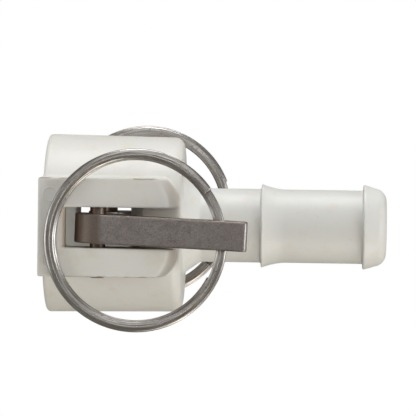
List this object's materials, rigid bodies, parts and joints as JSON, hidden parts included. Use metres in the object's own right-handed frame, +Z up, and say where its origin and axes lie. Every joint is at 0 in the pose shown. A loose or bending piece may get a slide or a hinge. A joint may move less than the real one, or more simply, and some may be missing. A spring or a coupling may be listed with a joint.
{
  "type": "cam lever hose coupling",
  "caption": "Moulded quick coupling socket with a barbed hose tail, cam levers on hinge pins, a split pull ring through each lever and a gasket at the bottom of the cup.",
  "frame": {"origin": "on the hose axis, midway between the front of the ears and the tip of the hose tail, which is the centre of the bounding box", "axes": "+X along the hose axis towards the open end of the hose tail, +Z up, and the two levers on the -Y (front) and +Y (rear) sides"},
  "size_m": [0.089, 0.0696, 0.0518],
  "materials": {
    "moulded_body": "satin white moulded plastic",
    "gasket_rubber": "matt black rubber",
    "pin_steel": "turned stainless steel",
    "lever_steel": "cast stainless steel with a fine grain",
    "ring_steel": "drawn stainless steel wire"
  },
  "bodies": {
    "body": {"coupler_body": "moulded_body", "cup_gasket": "gasket_rubber", "pivot_pin_front": "pin_steel", "pivot_pin_rear": "pin_steel"},
    "lever_front": {"cam_lever_front": "lever_steel"},
    "lever_rear": {"cam_lever_rear": "lever_steel"},
    "ring_front": {"pull_ring_front": "ring_steel"},
    "ring_rear": {"pull_ring_rear": "ring_steel"}
  },
  "joints": [
    {"name": "lever_front_open", "type": "hinge", "parent": "body", "child": "lever_front", "pos_m": [-0.02952, -0.0245, 0], "axis": [0, 0, -1], "range_deg": [0, 100]},
    {"name": "lever_rear_open", "type": "hinge", "parent": "body", "child": "lever_rear", "pos_m": [-0.02952, 0.0245, 0], "axis": [0, 0, 1], "range_deg": [0, 100]},
    {"name": "ring_front_swing", "type": "hinge", "parent": "lever_front", "child": "ring_front", "pos_m": [0.00147, -0.0307, 0], "axis": [0, 0, 1], "range_deg": [0, 175]},
    {"name": "ring_rear_swing", "type": "hinge", "parent": "lever_rear", "child": "ring_rear", "pos_m": [0.00147, 0.0307, 0], "axis": [0, 0, -1], "range_deg": [0, 175]}
  ],
  "couplings": [
    {"joint": "ring_front_swing", "follows": "lever_front_open", "ratio": 1.75},
    {"joint": "ring_rear_swing", "follows": "lever_rear_open", "ratio": 1.75}
  ]
}
